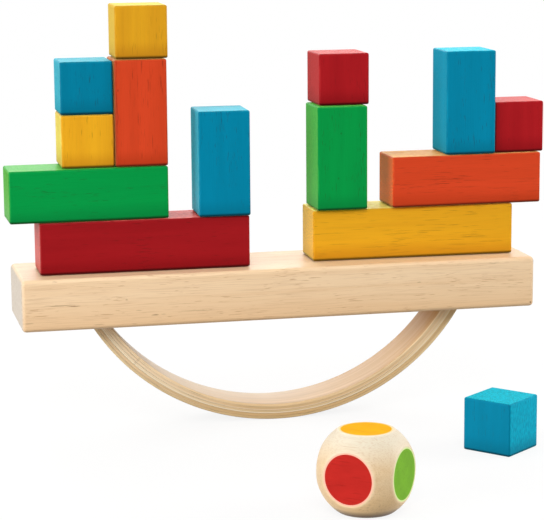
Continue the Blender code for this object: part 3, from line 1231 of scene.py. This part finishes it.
def lit_world(stage):
    """White to the eye all round; as light, a bright backdrop behind and above, and a dim room."""
    world = bpy.data.worlds.new("studio")
    world.use_nodes = True
    bpy.context.scene.world = world
    tree = world.node_tree
    path = add_node(tree, "ShaderNodeLightPath").outputs
    way = add_node(tree, "ShaderNodeTexCoord").outputs["Generated"]
    parts = add_node(tree, "ShaderNodeSeparateXYZ", {"Vector": way}).outputs
    behind = add_node(
        tree, "ShaderNodeMapRange",
        {"Value": parts["Y"], "From Min": -0.3, "From Max": 0.4, "To Min": ROOM_SHARE},
    ).outputs[0]
    above = add_node(
        tree, "ShaderNodeMapRange",
        {"Value": parts["Z"], "From Min": -0.10, "From Max": 0.02, "To Min": GROUND_SHARE},
    ).outputs[0]
    backdrop = add_node(tree, "ShaderNodeMath", {0: behind, 1: above}, operation="MULTIPLY").outputs[0]
    level = add_node(
        tree, "ShaderNodeMapRange",
        {"Value": path["Is Glossy Ray"], "To Min": stage.ambient, "To Max": 1.0},
    ).outputs[0]
    light = add_node(tree, "ShaderNodeMath", {0: backdrop, 1: level}, operation="MULTIPLY").outputs[0]
    seen = add_node(
        tree, "ShaderNodeMath", {0: path["Is Camera Ray"], 1: path["Is Transmission Ray"]},
        operation="MAXIMUM",
    ).outputs[0]
    strength = add_node(tree, "ShaderNodeMath", {0: light, 1: seen}, operation="MAXIMUM").outputs[0]
    background = tree.nodes["Background"]
    background.inputs["Color"].default_value = (1.0, 1.0, 1.0, 1.0)
    tree.links.new(strength, background.inputs["Strength"])


# How much of a shadow the paper keeps, how much of its colour it throws back, and where the shadow fades
SHADOW_SHARE = 0.14
BOUNCE_SHARE = 0.3
FADE_START = 0.3
FADE_END = 0.95
PAPER_ROUGHNESS = 0.9
FLOOR_SIDES = 128
FLOOR_DROP = 0.1 * MM


def floor_paper(stage):
    """White paper: it lights the object from below, and its faint shadow fades out to the rim."""
    material, tree = new_material("white paper")
    path = add_node(tree, "ShaderNodeLightPath").outputs
    seen = path["Is Camera Ray"]
    for ray in ("Is Glossy Ray", "Is Transmission Ray"):
        seen = add_node(tree, "ShaderNodeMath", {0: seen, 1: path[ray]}, operation="MAXIMUM").outputs[0]
    place = add_node(tree, "ShaderNodeTexCoord").outputs["Object"]
    away = add_node(tree, "ShaderNodeVectorMath", {0: place}, operation="LENGTH").outputs["Value"]
    white = add_node(
        tree, "ShaderNodeMapRange",
        {"Value": away, "From Min": FADE_START * stage.floor_radius,
         "From Max": FADE_END * stage.floor_radius, "To Min": 1 - SHADOW_SHARE, "To Max": 1.0},
    ).outputs[0]
    share = add_node(tree, "ShaderNodeMath", {0: seen, 1: white}, operation="MULTIPLY").outputs[0]
    glow = add_node(tree, "ShaderNodeEmission", {"Color": (1.0, 1.0, 1.0, 1.0), "Strength": 1.0})
    shader = tree.nodes["Principled BSDF"]
    bounced = rgba(shade(stage.floor, BOUNCE_SHARE))
    colour = tint(tree, rgba(stage.floor), bounced, path["Is Diffuse Ray"])
    tree.links.new(colour, shader.inputs["Base Color"])
    shader.inputs["Roughness"].default_value = PAPER_ROUGHNESS
    shader.inputs["Specular IOR Level"].default_value = 0.0
    both = add_node(
        tree, "ShaderNodeMixShader", {0: share, 1: shader.outputs["BSDF"], 2: glow.outputs["Emission"]}
    )
    tree.links.new(both.outputs[0], tree.nodes["Material Output"].inputs["Surface"])
    return material


class Lamp(NamedTuple):
    """A soft box: where it hangs, its side and its power in watts."""

    place: tuple
    side: float
    power: float


LAMP_TARGET = Vector((0.0, 0.0, 0.08))
LAMPS = {
    "left soft box": Lamp((-1.3, -0.6, 0.35), 0.9, 15.5),
    "front soft box": Lamp((-0.3, -1.5, 1.3), 1.0, 15.5),
    "right soft box": Lamp((1.5, -0.2, 0.5), 1.0, 17.0),
    "back soft box": Lamp((0.1, 1.3, 1.0), 1.2, 12.6),
}


class SCENE_OT_balance_stage(bpy.types.Operator):
    """Lay the floor and set the light and the camera"""

    bl_idname = "scene.balance_stage"
    bl_label = "Floor, Light and Camera"

    def execute(self, context):
        stage = context.scene.balance_game.stage
        context.scene.view_settings.view_transform = "Standard"
        lit_world(stage)
        floor = new_piece(
            "floor", bpy.ops.mesh.primitive_circle_add, vertices=FLOOR_SIDES, radius=stage.floor_radius,
            fill_type="NGON", location=(0.0, 0.0, -FLOOR_DROP),
        )
        floor.data.materials.append(floor_paper(stage))
        for name, lamp in LAMPS.items():
            light = bpy.data.lights.new(name, "AREA")
            light.energy = lamp.power
            light.size = lamp.side
            holder = bpy.data.objects.new(name, light)
            holder.location = lamp.place
            aim = LAMP_TARGET - Vector(lamp.place)
            holder.rotation_euler = aim.to_track_quat("-Z", "Y").to_euler()
            holder.visible_camera = False
            context.scene.collection.objects.link(holder)
        camera = bpy.data.objects.new("camera", bpy.data.cameras.new("camera"))
        camera.data.lens = stage.lens
        pitch, roll, yaw = stage.camera_turn
        turn = Matrix.Rotation(yaw, 3, "Z") @ Matrix.Rotation(math.pi / 2 + pitch, 3, "X")
        camera.rotation_euler = (turn @ Matrix.Rotation(-roll, 3, "Z")).to_euler()
        camera.location = stage.camera_place
        context.scene.collection.objects.link(camera)
        context.scene.camera = camera
        return {"FINISHED"}


class VIEW3D_PT_balance_game(bpy.types.Panel):
    """Sidebar panel with the game's pieces"""

    bl_idname = "VIEW3D_PT_balance_game"
    bl_label = "Balance Game"
    bl_space_type = "VIEW_3D"
    bl_region_type = "UI"
    bl_category = "Balance Game"

    def draw(self, context):
        for operator in OPERATORS:
            self.layout.operator(operator.bl_idname)


OPERATORS = (
    SCENE_OT_balance_stage,
    OBJECT_OT_balance_blocks,
    OBJECT_OT_balance_beam,
    OBJECT_OT_balance_rocker,
    OBJECT_OT_balance_die,
)
CLASSES = (
    StainSettings,
    BareWoodSettings,
    DieSettings,
    StageSettings,
    BalanceGameSettings,
    *OPERATORS,
    VIEW3D_PT_balance_game,
)


def register():
    for each in CLASSES:
        bpy.utils.register_class(each)
    bpy.types.Scene.balance_game = PointerProperty(type=BalanceGameSettings)


def unregister():
    del bpy.types.Scene.balance_game
    for each in reversed(CLASSES):
        bpy.utils.unregister_class(each)


def main():
    register()
    bpy.ops.scene.balance_stage()
    bpy.ops.object.balance_blocks()
    bpy.ops.object.balance_beam()
    bpy.ops.object.balance_rocker()
    bpy.ops.object.balance_die()


if __name__ == "__main__":
    main()
